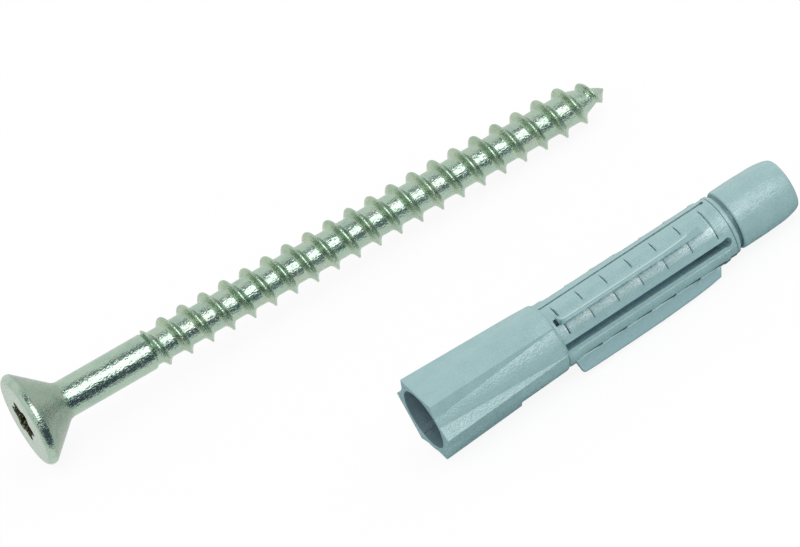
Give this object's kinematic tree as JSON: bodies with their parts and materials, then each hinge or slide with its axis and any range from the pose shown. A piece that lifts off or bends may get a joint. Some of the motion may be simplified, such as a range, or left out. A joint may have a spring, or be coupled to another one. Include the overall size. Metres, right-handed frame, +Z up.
{
  "type": "wall plug with screw",
  "caption": "Moulded nylon wall plug with a lobed collar, slotted barbed legs and thin fins, lying beside its zinc plated countersunk wood screw.",
  "frame": {"origin": "centre of the pair's footprint, on the surface the two pieces lie on", "axes": "+X from the screw's head towards its tip, +Y from the plug towards the screw, +Z up"},
  "size_m": [0.0856, 0.055, 0.0119],
  "materials": {
    "zinc_plated_steel": "bright zinc plate, semi gloss with a faint yellow green tint on the thread flanks",
    "grey_nylon": "moulded satin nylon, pale blue grey"
  },
  "bodies": {
    "root": {"screw": "zinc_plated_steel", "wall_plug": "grey_nylon"}
  },
  "joints": []
}
